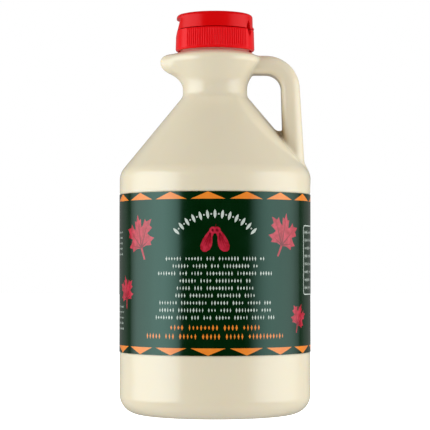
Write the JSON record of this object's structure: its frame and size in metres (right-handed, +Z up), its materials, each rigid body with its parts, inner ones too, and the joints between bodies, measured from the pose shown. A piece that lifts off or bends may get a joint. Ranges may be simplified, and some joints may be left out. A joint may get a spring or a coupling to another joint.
{
  "type": "maple syrup jug",
  "caption": "Handled syrup jug with a sloped shoulder, a pouring lip, a printed wrap label and a ribbed flip-top cap, shut.",
  "frame": {"origin": "centre of the base, on the surface that the jug stands on", "axes": "+Z up along the jug's axis, the handle towards +X, the pouring lip towards -X, the front of the label towards -Y"},
  "size_m": [0.098, 0.098, 0.2039],
  "materials": {
    "cream_plastic": "satin blow-moulded polyethylene",
    "printed_film": "glossy printed film, dark green",
    "red_plastic": "semi-gloss injection-moulded polypropylene"
  },
  "bodies": {
    "root": {"jug": "cream_plastic", "label": "printed_film", "cap_base": "red_plastic", "cap_lid": "red_plastic"}
  },
  "joints": []
}
